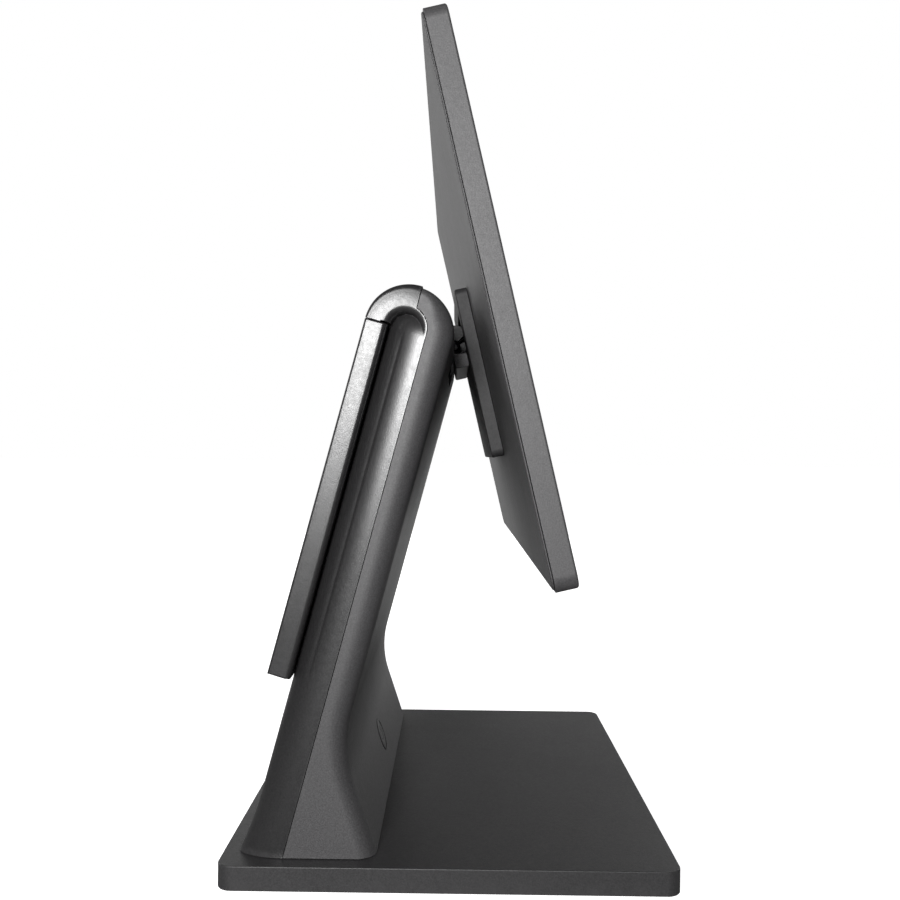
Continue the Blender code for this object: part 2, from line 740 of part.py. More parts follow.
add_blocks(customer_board, chip, (board_floor + 0.5 * MM, board_floor + 1.9 * MM), column_axis)


# ---------------------------------------------------------------- hinge, fixed half

def lug(x, tail, arm_z):
    """Hinge ear about the tilt axis and the arm that holds it: tail is the arm's end along y."""
    ends = (x - LUG_THICKNESS / 2, x + LUG_THICKNESS / 2)
    return rod(KNUCKLE_RADIUS, ends, "X"), span(ends, sorted((0.0, tail)), arm_z)


FIXED_LUG_X = 34 * MM
LUG_THICKNESS = 5 * MM
HINGE_BORE = SHAFT_RADIUS + 0.2 * MM
WASHER_RADIUS = 4.4 * MM
NUT_RADIUS = 4.6 * MM
NUT_CAP = 1.5 * MM
ACROSS = (-50 * MM, 50 * MM)  # through every lug
axis_t = along_column(AXIS_Y, AXIS_Z)[0]
bracket_axis = empty(
    "hinge_bracket_axis",
    Matrix.Translation((0, AXIS_Y, AXIS_Z)) @ Matrix.Rotation(LEAN, 4, "X"),
)
bracket_back = FRAME_FRONT - GAP - axis_t
bracket = piece(
    "hinge_bracket",
    span((-42 * MM, 42 * MM), (bracket_back - 3 * MM, bracket_back), (-28 * MM, 1 * MM)),
    "black_steel",
    bracket_axis,
)
for side in (-1, 1):
    for shape in lug(side * FIXED_LUG_X, bracket_back - MM, (-6 * MM, 0.8 * MM)):
        add(bracket, shape, bracket_axis)
cut(bracket, rod(HINGE_BORE, ACROSS, "X"), bracket_axis)

SHAFT_END = 39.5 * MM
piece("hinge_shaft", rod(SHAFT_RADIUS, (-SHAFT_END, SHAFT_END), "X"), "black_steel", bracket_axis)
for name, side in (("left", -1), ("right", 1)):
    ends = sorted((side * (FIXED_LUG_X + LUG_THICKNESS / 2 + GAP), side * (SHAFT_END + NUT_CAP)))
    nut = piece(f"hinge_nut_{name}", rod(NUT_RADIUS, ends, "X", sides=6), "black_steel", bracket_axis)
    hollow = sorted((side * FIXED_LUG_X, side * (SHAFT_END + GAP)))
    cut(nut, rod(HINGE_BORE, hollow, "X"), bracket_axis)


# ---------------------------------------------------------------- hinge, moving half

VESA_BACK = SCREEN_BACK + VESA_DEPTH  # rear face of the mounting cover, from the tilt axis
PLATE_Y = (SCREEN_BACK + GAP, SCREEN_BACK + GAP + VESA_PLATE)
MOVING_LUG_X = 26 * MM
YOKE_BACK = PLATE_Y[1] + GAP + 2.0 * MM
yoke = piece(
    "hinge_yoke",
    span((-30 * MM, 30 * MM), (PLATE_Y[1] + GAP, YOKE_BACK), (-9 * MM, 9 * MM)),
    "black_steel",
    tilt_axis,
)
for side in (-1, 1):
    for shape in lug(side * MOVING_LUG_X, YOKE_BACK - MM, (-4 * MM, 4 * MM)):
        add(yoke, shape, tilt_axis)
cut(yoke, rod(HINGE_BORE, ACROSS, "X"), tilt_axis)

for name, side in (("left", -1), ("right", 1)):
    ends = sorted(
        (
            side * (MOVING_LUG_X + LUG_THICKNESS / 2 + GAP),
            side * (FIXED_LUG_X - LUG_THICKNESS / 2 - GAP),
        )
    )
    washer = piece(
        f"friction_washer_{name}", rod(WASHER_RADIUS, ends, "X"), "black_steel", bracket_axis
    )
    cut(washer, rod(HINGE_BORE, ACROSS, "X"), bracket_axis)

# square neck cover that carries the cables across to the display
NECK_Z = (-19.4 * MM, -11.8 * MM)
NECK_REAR = 4.4 * MM
piece(
    "hinge_neck_cover",
    rounded(span((-NECK_WIDTH / 2, NECK_WIDTH / 2), (VESA_BACK + GAP, NECK_REAR), NECK_Z), 0, 1.2 * MM, 3),
    "graphite_shell",
    tilt_axis,
)

vesa_z = (VESA_MIDDLE - VESA_HEIGHT / 2, VESA_MIDDLE + VESA_HEIGHT / 2)
cover_shape = rounded(
    span((-VESA_WIDTH / 2, VESA_WIDTH / 2), (SCREEN_BACK + GAP, VESA_BACK), vesa_z), 1, 4 * MM, 4
)
vesa_cover = piece("vesa_cover", softened(cover_shape, 1, 1, 0.8 * MM), "graphite_shell", tilt_axis)
cut(
    vesa_cover,
    rounded(
        span(
            (-VESA_WIDTH / 2 + 1.8 * MM, VESA_WIDTH / 2 - 1.8 * MM),
            (SCREEN_BACK - MM, VESA_BACK - 1.6 * MM),
            (vesa_z[0] + 1.8 * MM, vesa_z[1] - 1.8 * MM),
        ),
        1,
        2.4 * MM,
        3,
    ),
    tilt_axis,
)
cut(vesa_cover, span((-41 * MM, 41 * MM), (-8 * MM, 0), (-10 * MM, 10 * MM)), tilt_axis)

vesa_plate = piece(
    "vesa_plate",
    rounded(
        span((-52 * MM, 52 * MM), PLATE_Y, (vesa_z[0] + 3 * MM, vesa_z[1] - 3 * MM)), 1, 4 * MM, 3
    ),
    "zinc_steel",
    tilt_axis,
)


# ---------------------------------------------------------------- main display

SCREEN_FRONT = SCREEN_BACK - SCREEN_THICKNESS
FRAME_REAR = SCREEN_BACK - SHADOW_GAP


def panel(width, height, y, corner, steps=4):
    """Plate in the plane of the screen, centred on it."""
    size = (width, y[1] - y[0], height)
    return rounded(box(size, (0, sum(y) / 2, SCREEN_MIDDLE)), 1, corner, steps)


frame_shape = panel(SCREEN_WIDTH, SCREEN_HEIGHT, (SCREEN_FRONT, FRAME_REAR), SCREEN_CORNER, 6)
softened(frame_shape, 1, -1, 1.0 * MM)
softened(frame_shape, 1, 1, 0.6 * MM)
display_frame = piece("display_frame", frame_shape, "graphite_shell", tilt_axis)
inner_width = SCREEN_WIDTH - 2 * RIM
inner_height = SCREEN_HEIGHT - 2 * RIM
LEDGE = 5 * MM
ledge_front = SCREEN_FRONT + 0.3 * MM + GLASS + GAP
cut(
    display_frame,
    panel(
        inner_width,
        inner_height,
        (SCREEN_FRONT - MM, ledge_front),
        SCREEN_CORNER - RIM,
    ),
    tilt_axis,
)
cut(
    display_frame,
    panel(
        inner_width - 2 * LEDGE,
        inner_height - 2 * LEDGE,
        (SCREEN_FRONT, FRAME_REAR + MM),
        3 * MM,
    ),
    tilt_axis,
)
piece(
    "touch_glass",
    panel(
        inner_width - 2 * GAP,
        inner_height - 2 * GAP,
        (SCREEN_FRONT + 0.3 * MM, SCREEN_FRONT + 0.3 * MM + GLASS),
        SCREEN_CORNER - RIM - GAP,
    ),
    "glass",
    tilt_axis,
)
lcd_depth = (ledge_front + GAP, ledge_front + GAP + 4.2 * MM)
lcd_size = (inner_width - 2 * LEDGE - 2 * MM, inner_height - 2 * LEDGE - 2 * MM)
piece("lcd_panel", panel(*lcd_size, lcd_depth, 1 * MM, 2), "lcd", tilt_axis)

INSET = 1.2 * MM
back_cover = piece(
    "display_back_cover",
    panel(
        SCREEN_WIDTH - 2 * INSET,
        SCREEN_HEIGHT - 2 * INSET,
        (FRAME_REAR + GAP, SCREEN_BACK),
        SCREEN_CORNER - INSET,
        6,
    ),
    "graphite_shell",
    tilt_axis,
)

board_y = (lcd_depth[1] + GAP, lcd_depth[1] + GAP + 1.0 * MM)
display_board = piece(
    "display_board",
    span((-60 * MM, 60 * MM), board_y, (-95 * MM, -60 * MM)),
    "circuit",
    tilt_axis,
)
display_chips = [(x, -78, 14, 14) for x in (-35, 0, 35)]
add_blocks(display_board, display_chips, (board_y[0] + 0.5 * MM, board_y[1] + 0.8 * MM), tilt_axis)

for number, (x, z) in enumerate(((-1, -1), (1, -1), (-1, 1), (1, 1)), 1):
    spot = (x * VESA_PITCH / 2, VESA_MIDDLE + z * VESA_PITCH / 2)
    screw = piece(
        f"vesa_screw_{number}",
        rod(3.4 * MM, (PLATE_Y[1] + GAP, PLATE_Y[1] + GAP + 1.8 * MM), "Y", spot, 16),
        "zinc_steel",
        tilt_axis,
    )
    add(screw, rod(1.7 * MM, (FRAME_REAR + 0.1 * MM, PLATE_Y[1] + MM), "Y", spot, 12), tilt_axis)
    cut(screw, rod(1.3 * MM, (PLATE_Y[1] + 1.3 * MM, PLATE_Y[1] + 4 * MM), "Y", spot, 6), tilt_axis)
    cut(vesa_plate, rod(2.0 * MM, (PLATE_Y[0] - MM, PLATE_Y[1] + MM), "Y", spot, 12), tilt_axis)
    cut(back_cover, rod(2.0 * MM, (FRAME_REAR - MM, SCREEN_BACK + MM), "Y", spot, 12), tilt_axis)
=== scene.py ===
"""Looks of the point-of-sale touchscreen terminal: visible shells, materials, floor, light and camera."""

import json
import math

import bmesh
import bpy
from mathutils import Matrix, Vector


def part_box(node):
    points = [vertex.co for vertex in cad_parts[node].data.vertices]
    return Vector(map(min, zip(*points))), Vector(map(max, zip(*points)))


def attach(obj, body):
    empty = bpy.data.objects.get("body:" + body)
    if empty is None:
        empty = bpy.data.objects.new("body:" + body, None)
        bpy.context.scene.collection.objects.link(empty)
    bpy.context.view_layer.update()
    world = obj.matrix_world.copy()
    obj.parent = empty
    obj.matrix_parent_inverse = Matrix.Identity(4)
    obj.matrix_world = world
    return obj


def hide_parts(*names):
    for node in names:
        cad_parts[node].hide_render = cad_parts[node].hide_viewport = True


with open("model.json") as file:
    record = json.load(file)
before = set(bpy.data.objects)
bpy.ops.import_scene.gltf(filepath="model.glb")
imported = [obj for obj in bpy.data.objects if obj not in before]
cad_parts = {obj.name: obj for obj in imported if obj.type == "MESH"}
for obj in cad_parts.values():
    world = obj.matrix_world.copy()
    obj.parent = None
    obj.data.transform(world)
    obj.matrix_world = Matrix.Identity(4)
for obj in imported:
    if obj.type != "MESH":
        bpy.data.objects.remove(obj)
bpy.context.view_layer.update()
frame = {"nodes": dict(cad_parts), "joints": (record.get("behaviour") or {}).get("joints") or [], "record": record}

MM = 0.001
GAP = 0.3 * MM  # clearance between two pieces of the CAD model


# ---------------------------------------------------------------- places read from the frame

def slope(node):
    """Angle about X of a CAD plate from upright, read from its largest face."""
    polygons = frame["nodes"][node].data.polygons
    normal = max(polygons, key=lambda polygon: polygon.area).normal
    normal = normal if normal.y > 0 else -normal
    return math.atan2(normal.z, normal.y)


def extent(node, place):
    """Lowest and highest corner of a CAD node in a turned frame."""
    to_place = place.inverted()
    points = [to_place @ vertex.co for vertex in frame["nodes"][node].data.vertices]
    low = Vector([min(point[axis] for point in points) for axis in range(3)])
    high = Vector([max(point[axis] for point in points) for axis in range(3)])
    return low, high


LEAN = slope("customer_glass")
TILT = slope("touch_glass")
tilt_joint = next(joint for joint in frame["joints"] if joint["name"] == "display_tilt")
DISPLAY = Matrix.Translation(tilt_joint["pos_m"]) @ Matrix.Rotation(TILT, 4, "X")

# column frame: origin on the axis of its round top, y to the rear, z up the lean
RADIUS = 21.3 * MM  # half the column's thickness
lean_only = Matrix.Rotation(LEAN, 4, "X")
case_corner = extent("customer_housing", lean_only)[1]
COLUMN = lean_only @ Matrix.Translation((0, case_corner.y - RADIUS, case_corner.z + GAP))
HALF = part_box("column_rear_shell")[1].x
BASE_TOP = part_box("base_cover")[1].z
FOOT_PLANE = BASE_TOP + GAP


def in_column(y, z):
    """Column coordinates (rearwards, up the lean) of a place in the row frame."""
    place = COLUMN.inverted() @ Vector((0, y, z))
    return Vector((place.y, place.z))


def in_row(t, h):
    """Row frame (y, z) of a place in column coordinates."""
    place = COLUMN @ Vector((0, t, h))
    return Vector((place.y, place.z))


# ---------------------------------------------------------------- materials

class Nodes:
    """Short names for building one material's nodes."""

    def __init__(self, name):
        self.material = bpy.data.materials.new(name)
        self.material.use_nodes = True
        self.tree = self.material.node_tree
        self.shader = self.tree.nodes["Principled BSDF"]
        self.place = self.add("ShaderNodeTexCoord").outputs["Object"]

    def add(self, kind, inputs=None, **settings):
        node = self.tree.nodes.new(kind)
        for key, value in settings.items():
            setattr(node, key, value)
        for key, value in (inputs or {}).items():
            self.feed(node.inputs[key], value)
        return node

    def feed(self, socket, value):
        if isinstance(value, bpy.types.NodeSocket):
            self.tree.links.new(value, socket)
        else:
            socket.default_value = value

    def noise(self, scale, detail=4.0, rough=0.5, stretch=None):
        place = self.place
        if stretch:
            place = self.add("ShaderNodeMapping", {"Vector": place, "Scale": stretch}).outputs[0]
        inputs = {"Vector": place, "Scale": scale, "Detail": detail, "Roughness": rough}
        return self.add("ShaderNodeTexNoise", inputs).outputs["Fac"]

    def cells(self, scale):
        return self.add("ShaderNodeTexVoronoi", {"Vector": self.place, "Scale": scale}).outputs["Distance"]

    def spread(self, value, low, high, to_low=0.0, to_high=1.0):
        inputs = {"Value": value, "From Min": low, "From Max": high, "To Min": to_low, "To Max": to_high}
        return self.add("ShaderNodeMapRange", inputs).outputs["Result"]

    def blend(self, share, first, second, kind="MIX"):
        node = self.add("ShaderNodeMix", data_type="RGBA", blend_type=kind)
        self.feed(node.inputs["Factor"], share)
        self.feed(node.inputs["A"], first)
        self.feed(node.inputs["B"], second)
        return node.outputs["Result"]

    def sum(self, first, second, kind="ADD"):
        return self.add("ShaderNodeMath", {0: first, 1: second}, operation=kind).outputs[0]

    def edges(self, low=0.55, high=0.64):
        """1 along convex edges, broken up by noise."""
        pointed = self.add("ShaderNodeNewGeometry").outputs["Pointiness"]
        worn = self.spread(pointed, low, high)
        return self.sum(worn, self.spread(self.noise(140, 5, 0.7), 0.35, 0.65), "MULTIPLY")

    def bump(self, height, strength, depth):
        inputs = {"Height": height, "Strength": strength, "Distance": depth}
        self.feed(self.shader.inputs["Normal"], self.add("ShaderNodeBump", inputs).outputs[0])

    def set(self, **inputs):
        for key, value in inputs.items():
            self.feed(self.shader.inputs[key.replace("_", " ")], value)


def grey(level, warmth=0.0):
    """Neutral colour, a little warm or cool."""
    return (level * (1 + warmth), level, level * (1 - warmth), 1)


def grey_violet(level):
    """Neutral graphite, the faintest touch violet."""
    return (level, level * 0.975, level * 1.01, 1)


def graphite(name, level, roughness, grain, specular=0.5, flecks=0.35, wear=2.0):
    """Sprayed graphite finish: fine grain that shows as flecks, soft mottling, edges rubbed lighter."""
    made = Nodes(name)
    fine = made.noise(1500, 3, 0.7)
    coarse = made.noise(520, 4, 0.6)
    broad = made.noise(9, 3, 0.5)
    smudge = made.noise(38, 5, 0.6)
    base = made.blend(made.spread(broad, 0.3, 0.7), grey_violet(level * 0.94), grey_violet(level * 1.06))
    fleck = made.spread(fine, 0.34, 0.7, 1 - flecks, 1 + flecks)
    shade = made.add("ShaderNodeVectorMath", {0: base, 1: fleck}, operation="MULTIPLY").outputs[0]
    worn = made.blend(made.edges(), shade, grey_violet(level * wear))
    gloss = made.spread(coarse, 0.3, 0.7, roughness - 0.03, roughness + 0.03)
    gloss = made.sum(gloss, made.spread(smudge, 0.35, 0.7, -0.012, 0.016))
    made.set(Base_Color=worn, Roughness=gloss, Specular_IOR_Level=specular)
    height = made.sum(fine, made.sum(coarse, 0.6, "MULTIPLY"))
    made.bump(height, grain, 0.12 * MM)
    return made.material


def metal(name, level, roughness, stretch, warmth=0.0, scale=900):
    """Bare or plated metal with a brushed or rolled grain and darker stains."""
    made = Nodes(name)
    brushed = made.noise(scale, 4, 0.6, stretch)
    stains = made.noise(24, 6, 0.6)
    base = made.blend(made.spread(stains, 0.35, 0.75), grey(level, warmth), grey(level * 0.7, warmth))
    worn = made.blend(made.edges(), base, grey(min(level * 1.5, 0.95), warmth))
    gloss = made.spread(brushed, 0.3, 0.7, roughness - 0.08, roughness + 0.1)
    made.set(Base_Color=worn, Roughness=gloss, Metallic=1.0)
    made.bump(brushed, 0.25, 0.05 * MM)
    return made.material


def glossy_black(name, level, cool):
    """Cover glass over black: sharp gloss with faint wiping marks."""
    made = Nodes(name)
    wipes = made.noise(26, 6, 0.6, (1, 3, 3))
    dust = made.cells(900)
    shade = made.blend(made.spread(dust, 0.0, 0.12), grey(level * 1.6, -cool), grey(level, -cool))
    gloss = made.spread(wipes, 0.35, 0.75, 0.035, 0.11)
    made.set(Base_Color=shade, Roughness=gloss, IOR=1.52, Coat_Weight=0.3, Coat_Roughness=0.03)
    made.bump(wipes, 0.02, 0.05 * MM)
    return made.material


def rubber():
    made = Nodes("rubber_feet")
    grain = made.noise(1300, 4, 0.7)
    scuffs = made.noise(60, 5, 0.7)
    shade = made.blend(made.spread(scuffs, 0.45, 0.8), grey(0.018), grey(0.05))
    made.set(Base_Color=shade, Roughness=made.spread(grain, 0.3, 0.7, 0.72, 0.92))
    made.bump(grain, 0.4, 0.1 * MM)
    return made.material


def circuit():
    """Solder mask with copper tracks under it and bare pads."""
    made = Nodes("circuit_board")
    place = made.add("ShaderNodeMapping", {"Vector": made.place, "Scale": (1, 0.2, 1)}).outputs[0]
    tracks = made.add("ShaderNodeTexBrick", {"Vector": place, "Scale": 240.0, "Mortar Size": 0.03})
    pads = made.spread(made.cells(420), 0.05, 0.12)
    mask = made.blend(tracks.outputs["Fac"], (0.012, 0.075, 0.04, 1), (0.02, 0.13, 0.06, 1))
    shade = made.blend(pads, (0.62, 0.47, 0.2, 1), mask)
    made.set(Base_Color=shade, Roughness=made.spread(made.noise(300), 0.3, 0.7, 0.3, 0.5))
    made.bump(tracks.outputs["Fac"], 0.3, 0.08 * MM)
    return made.material


def moulded(name, level, roughness):
    """Plain moulded plastic with a spark-eroded grain."""
    made = Nodes(name)
    grain = made.cells(1400)
    cloud = made.noise(30, 4, 0.5)
    shade = made.blend(made.spread(cloud, 0.3, 0.7), grey(level * 0.8), grey(level * 1.25))
    shade = made.blend(made.edges(), shade, grey(level * 2.5))
    made.set(Base_Color=shade, Roughness=made.spread(cloud, 0.3, 0.7, roughness - 0.06, roughness + 0.06))
    made.bump(grain, 0.3, 0.08 * MM)
    return made.material


def panel_back():
    """Rolled metal back of a display panel, with a faint foil pattern."""
    made = Nodes("panel_back")
    foil = made.noise(60, 5, 0.6, (1, 1, 4))
    shade = made.blend(made.spread(foil, 0.3, 0.7), grey(0.3, -0.02), grey(0.42, -0.02))
    made.set(Base_Color=shade, Roughness=made.spread(foil, 0.3, 0.7, 0.28, 0.45), Metallic=0.7)
    made.bump(foil, 0.2, 0.05 * MM)
    return made.material


LOOKS = {
    "shell": graphite("graphite_matte", 0.044, 0.53, 0.45, specular=0.52),
    "shell_dark": graphite("graphite_satin", 0.016, 0.315, 0.3, specular=0.5),
    "base_metal": graphite("graphite_powder_coat", 0.026, 0.48, 0.45, specular=0.42, wear=1.3),
    "black_steel": metal("black_steel", 0.016, 0.5, (1, 1, 6), scale=500),
    "steel": metal("zinc_plated_steel", 0.5, 0.34, (1, 1, 12), -0.02),
    "rubber": rubber(),
    "screen_glass": glossy_black("cover_glass", 0.006, 0.02),
    "lcd": panel_back(),
    "circuit": circuit(),
    "aluminium": metal("cast_aluminium", 0.58, 0.4, (6, 1, 1)),
    "port_plastic": moulded("socket_plastic", 0.018, 0.5),
}
MOUNT = graphite("graphite_mount", 0.018, 0.6, 0.4, specular=0.3)
# Lighter copy of the shell graphite for the hinge bar: painted light, standing in for the light that the column's
# shadow keeps off it.
NECK_PAINTED_LIGHT = graphite("graphite_neck_painted_light", 0.11, 0.6, 0.4)
SCREEN_AREA = glossy_black("display_area", 0.016, 0.12)


# ---------------------------------------------------------------- mesh helpers

def outward(shape, inside):
    """Turn all faces to point away from a place inside the piece."""
    bmesh.ops.recalc_face_normals(shape, faces=shape.faces)
    shape.normal_update()
    way = sum(
        (face.calc_center_median() - inside).dot(face.normal) * face.calc_area() for face in shape.faces
    )
    if way < 0:
        bmesh.ops.reverse_faces(shape, faces=shape.faces)


def piece(
    name, shape, body, slot, replaced, place=None, inside=(0, 0, 0),
    bevel=0.0, thick=0.0, cutters=(), look=None,
):
    """Finish a visible piece: shell thickness, holes, softened edges, material, place in the table."""
    outward(shape, Vector(inside))
    if place:
        bmesh.ops.transform(shape, matrix=place, verts=shape.verts)
    mesh = bpy.data.meshes.new(name)
    shape.to_mesh(mesh)
    shape.free()
    thing = bpy.data.objects.new(name, mesh)
    bpy.context.scene.collection.objects.link(thing)
    mesh.materials.append(look or LOOKS[slot])
    if thick:
        solid = thing.modifiers.new("thickness", "SOLIDIFY")
        solid.thickness = thick
        solid.offset = -1
        solid.use_even_offset = True
    for cutter in cutters:
        hole = thing.modifiers.new("hole", "BOOLEAN")
        hole.object = cutter
        hole.operation = "DIFFERENCE"
        hole.solver = "EXACT"
    if bevel:
        soften(thing, bevel)
    settle(thing)
    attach(thing, body)
    if replaced:
        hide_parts(*replaced)
    return thing


def soften(thing, width, segments=3):
    """Small rounded edges on everything that turns by more than 35 degrees."""
    bevel = thing.modifiers.new("edges", "BEVEL")
    bevel.width = width
    bevel.segments = segments
    bevel.limit_method = "ANGLE"
    bevel.angle_limit = math.radians(35)
    bevel.use_clamp_overlap = True


def settle(thing):
    """Apply the modifiers, then shade smooth with area-weighted normals."""
    bpy.context.view_layer.update()
    graph = bpy.context.evaluated_depsgraph_get()
    mesh = bpy.data.meshes.new_from_object(thing.evaluated_get(graph))
    thing.modifiers.clear()
    thing.data = mesh
    mesh.shade_smooth()
    mesh.set_sharp_from_angle(angle=math.radians(48))
    weighted = thing.modifiers.new("normals", "WEIGHTED_NORMAL")
    weighted.keep_sharp = True


def helper(name, shape, place):
    """A cutter for holes, kept out of the picture."""
    bmesh.ops.recalc_face_normals(shape, faces=shape.faces)
    bmesh.ops.transform(shape, matrix=place, verts=shape.verts)
    mesh = bpy.data.meshes.new(name)
    shape.to_mesh(mesh)
    shape.free()
    thing = bpy.data.objects.new(name, mesh)
    bpy.context.scene.collection.objects.link(thing)
    return thing


def rounded_rect(low, high, corner, steps):
    """Corner-rounded rectangle as (u, v) points, anticlockwise."""
    corner = max(corner, 0.05 * MM)
    points = []
    for turn, (right, top) in enumerate(((1, 1), (0, 1), (0, 0), (1, 0))):
        middle_u = high[0] - corner if right else low[0] + corner
        middle_v = high[1] - corner if top else low[1] + corner
        for step in range(steps + 1):
            angle = math.pi / 2 * (turn + step / steps)
            points.append((middle_u + corner * math.cos(angle), middle_v + corner * math.sin(angle)))
    return points


def quarter(face, way, radius, depth=None, steps=6):
    """Rounded rim as (inset, level) points, from the side up to a face; way is +1 on the high face."""
    depth = radius if depth is None else depth
    angles = [math.pi / 2 * step / steps for step in range(steps + 1)]
    return [(radius * (1 - math.cos(a)), face - way * depth * (1 - math.sin(a))) for a in angles]


LIFTS = {
    "X": lambda u, v, level: (level, u, v),
    "Y": lambda u, v, level: (u, level, v),
    "Z": lambda u, v, level: (u, v, level),
}


def lofted(low, high, corner, profile, along="Y", steps=10, closed=False, ends=(1.0, 1.0)):
    """Solid from one rounded rectangle drawn at each (inset, level) of a profile.

    ends are the most that the lower and the upper side may be inset, so that they stay straight.
    """
    shape = bmesh.new()
    rings = []
    for inset, level in profile:
        ring_low = (low[0] + inset, low[1] + min(inset, ends[0]))
        ring_high = (high[0] - inset, high[1] - min(inset, ends[1]))
        outline = rounded_rect(ring_low, ring_high, corner - inset, steps)
        rings.append([shape.verts.new(LIFTS[along](u, v, level)) for u, v in outline])
    pairs = list(zip(rings, rings[1:])) + ([(rings[-1], rings[0])] if closed else [])
    for first, second in pairs:
        for i in range(len(first)):
            j = (i + 1) % len(first)
            shape.faces.new((first[i], first[j], second[j], second[i]))
    if not closed:
        shape.faces.new(rings[0])
        shape.faces.new(rings[-1])
    return shape


def turned(profile, sides=64):
    """Solid of revolution about local Y from (radius, y) points; ends on the axis close it."""
    shape = bmesh.new()
    rings = []
    for radius, y in profile:
        if radius == 0:
            rings.append([shape.verts.new((0, y, 0))])
            continue
        angles = [2 * math.pi * i / sides for i in range(sides)]
        rings.append([shape.verts.new((radius * math.cos(a), y, radius * math.sin(a))) for a in angles])
    for first, second in zip(rings, rings[1:]):
        for i in range(sides):
            j = (i + 1) % sides
            low_edge = [first[i % len(first)], first[j % len(first)]]
            high_edge = [second[j % len(second)], second[i % len(second)]]
            shape.faces.new(list(dict.fromkeys(low_edge + high_edge)))
    return shape


# ---------------------------------------------------------------- base

def base_shell():
    low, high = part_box("base_cover")
    wall = 2.4 * MM
    ceiling = high.z - wall
    top = quarter(high.z, 1, 0.5 * MM)
    foot = list(reversed(quarter(low.z, -1, 0.5 * MM, steps=3)))
    profile = [(wall, ceiling), (wall, low.z)] + foot + top
    shape = lofted(low, high, 7 * MM, profile, "Z", steps=14)
    piece("base_shell", shape, "stand", "base_metal", ["base_cover"], inside=(0, 0, ceiling))


def feet():
    for place in ("front_left", "front_right", "rear_left", "rear_right"):
        node = f"foot_{place}"
        low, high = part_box(node)
        middle = (low + high) / 2
        radius = (high.x - low.x) / 2
        height = high.z - low.z
        dish = 0.35 * MM
        profile = [(0, dish), (radius * 0.55, dish), (radius * 0.68, 0)]
        profile += [(radius - 0.8 * MM, 0), (radius - 0.25 * MM, 0.2 * MM), (radius, 0.7 * MM)]
        profile += [(radius, height), (0, height)]
        stand_up = Matrix.Translation((middle.x, middle.y, low.z)) @ Matrix.Rotation(math.pi / 2, 4, "X")
        shape = turned(profile, 48)
        inside = (0, height / 2, 0)
        piece(f"rubber_{node}", shape, "stand", "rubber", [node], stand_up, inside, bevel=0.1 * MM)


# ---------------------------------------------------------------- column shells

button_joint = next(joint for joint in frame["joints"] if joint["name"] == "power_button_press")
FLARE = math.atan2(-button_joint["axis"][2], button_joint["axis"][1])  # slope of the front foot
FLARE_TURN = LEAN + FLARE
FLARE_RADIUS = 60 * MM
FLARE_TOE_Y = 34.1 * MM
REAR_TURN = math.radians(10)
REAR_FLARE_HEIGHT = 31 * MM
SEAM = -8.6 * MM  # straight seam between the two shells, in column coordinates
SEAM_TOP = -1.0 * MM  # the same seam over the round top
SEAM_RADIUS = 10.8 * MM
POCKET = SEAM + SEAM_RADIUS  # middle of the round end that the seam goes round
FRONT_DROP = 1.0 * MM
FRONT_ROUND = 9 * MM  # front edges of the column, eased to the two below over its top
TOP_ROUND = 3.6 * MM
REAR_ROUND = 1.2 * MM
REAR_WALL = 10 * MM
SHELL = 2.0 * MM
SEAM_EDGE = 0.12 * MM
ARC_STEPS = 28
BEND_STEPS = 14
WINDOW_REACH = 46 * MM  # half the hinge window's width
WINDOW_BOTTOM = -10 * MM
WINDOW_TOP = 18.6 * MM


def curve(centre, radius, start, end, steps):
    """Points along an arc, both ends included."""
    angles = [start + (end - start) * i / steps for i in range(steps + 1)]
    return [centre + radius * Vector((math.cos(a), math.sin(a))) for a in angles]


def foot_height(t):
    """Height in column coordinates of the base's top, at that depth."""
    return (FOOT_PLANE - in_row(t, 0).y) / math.cos(LEAN)


def front_line(inset):
    """Outline of the front shell from the seam at the top down to the toe, that far inside its face."""
    radius = RADIUS - inset
    line = curve(Vector((0, -FRONT_DROP)), radius, math.acos(SEAM_TOP / radius), math.pi, ARC_STEPS)
    toe = in_column(FLARE_TOE_Y + inset / math.cos(FLARE), FOOT_PLANE)
    corner_h = toe.y + (-radius - toe.x) / math.tan(FLARE_TURN)
    bend = FLARE_RADIUS + inset
    bend_h = corner_h + bend * math.tan(FLARE_TURN / 2)
    line += [Vector((-radius, h)) for h in (WINDOW_BOTTOM, -30 * MM, -60 * MM, -90 * MM, -120 * MM)]
    line += curve(Vector((-radius - bend, bend_h)), bend, 0, -FLARE_TURN, BEND_STEPS)
    bend_end = line[-1]
    return line + [bend_end.lerp(toe, step / 6) for step in range(1, 7)]


def seam_line():
    """The seam beside each point of the front outline: round the pocket, then straight down to the base."""
    end = math.acos((SEAM_TOP - POCKET) / SEAM_RADIUS)
    line = curve(Vector((POCKET, 0)), SEAM_RADIUS, end, math.pi, ARC_STEPS)
    outline = front_line(0)[ARC_STEPS:]
    lengths = [0.0]
    for first, second in zip(outline, outline[1:]):
        lengths.append(lengths[-1] + (second - first).length)
    foot = foot_height(SEAM)
    return line + [Vector((SEAM, foot * length / lengths[-1])) for length in lengths[1:]]


def smooth(value, low, high):
    share = min(1.0, max(0.0, (value - low) / (high - low)))
    return share * share * (3 - 2 * share)


def sheet(rows, keep=lambda row, column: True):
    """Open surface through rows of points, with faces left out where keep says so."""
    shape = bmesh.new()
    grid = [[shape.verts.new(point) for point in row] for row in rows]
    for i, (first, second) in enumerate(zip(grid, grid[1:])):
        for j in range(len(first) - 1):
            if keep(i, j):
                shape.faces.new((first[j], first[j + 1], second[j + 1], second[j]))
    return shape


def both_sides(side_row, middle):
    """A row from the left seam to the right one: the side's points mirrored, the middle's, the side's."""
    left = [Vector((-x, t, h)) for x, t, h in reversed(side_row)]
    t, h = side_row[0][1:]
    return left + [Vector((x, t, h)) for x in middle] + [Vector(point) for point in side_row]


